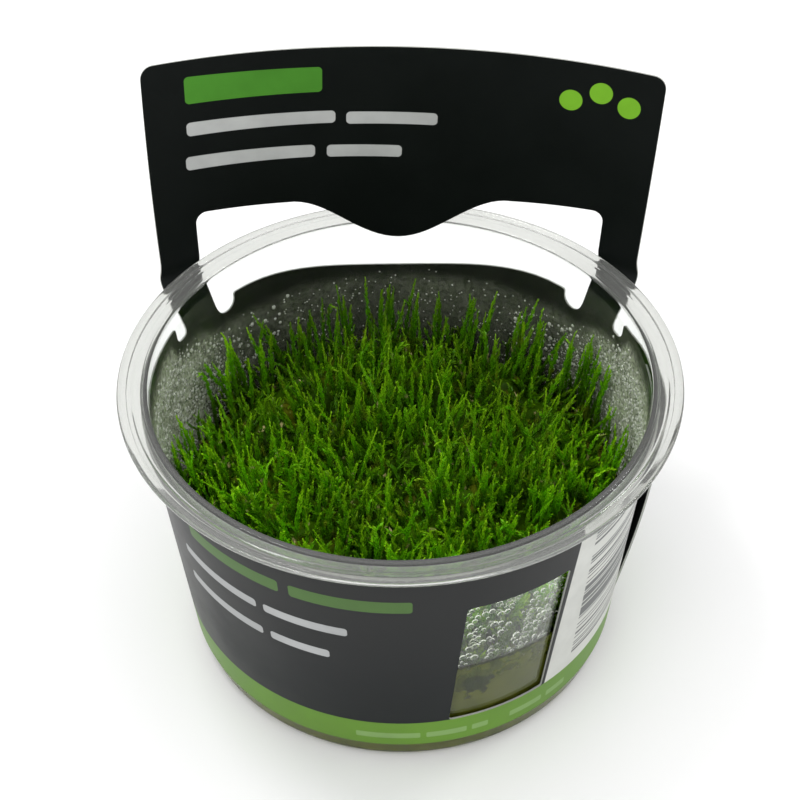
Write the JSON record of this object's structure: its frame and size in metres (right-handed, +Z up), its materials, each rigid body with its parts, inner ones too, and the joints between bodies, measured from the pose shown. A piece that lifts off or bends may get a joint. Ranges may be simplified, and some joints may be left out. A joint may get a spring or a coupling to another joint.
{
  "type": "tissue culture weeping moss in a clear cup",
  "caption": "Upright green moss on culture jelly in a clear tapered cup, with a printed card sleeve that rises at the back as a header.",
  "frame": {"origin": "centre of the cup's flat base, on the surface that it stands on", "axes": "+Z up, the header of the sleeve stands at +Y, the front with the window faces -Y"},
  "size_m": [0.099, 0.099, 0.0968],
  "materials": {
    "clear_plastic": "clear, glossy, lightly fogged inside",
    "printed_card": "coated card, satin black with a green band and a pale panel",
    "culture_jelly": "clear, wet, olive tinted",
    "moss_green": "soft, fine leaved, slightly moist"
  },
  "bodies": {
    "root": {"cup": "clear_plastic", "sleeve": "printed_card", "nutrient_gel": "culture_jelly", "moss": "moss_green"}
  },
  "joints": []
}
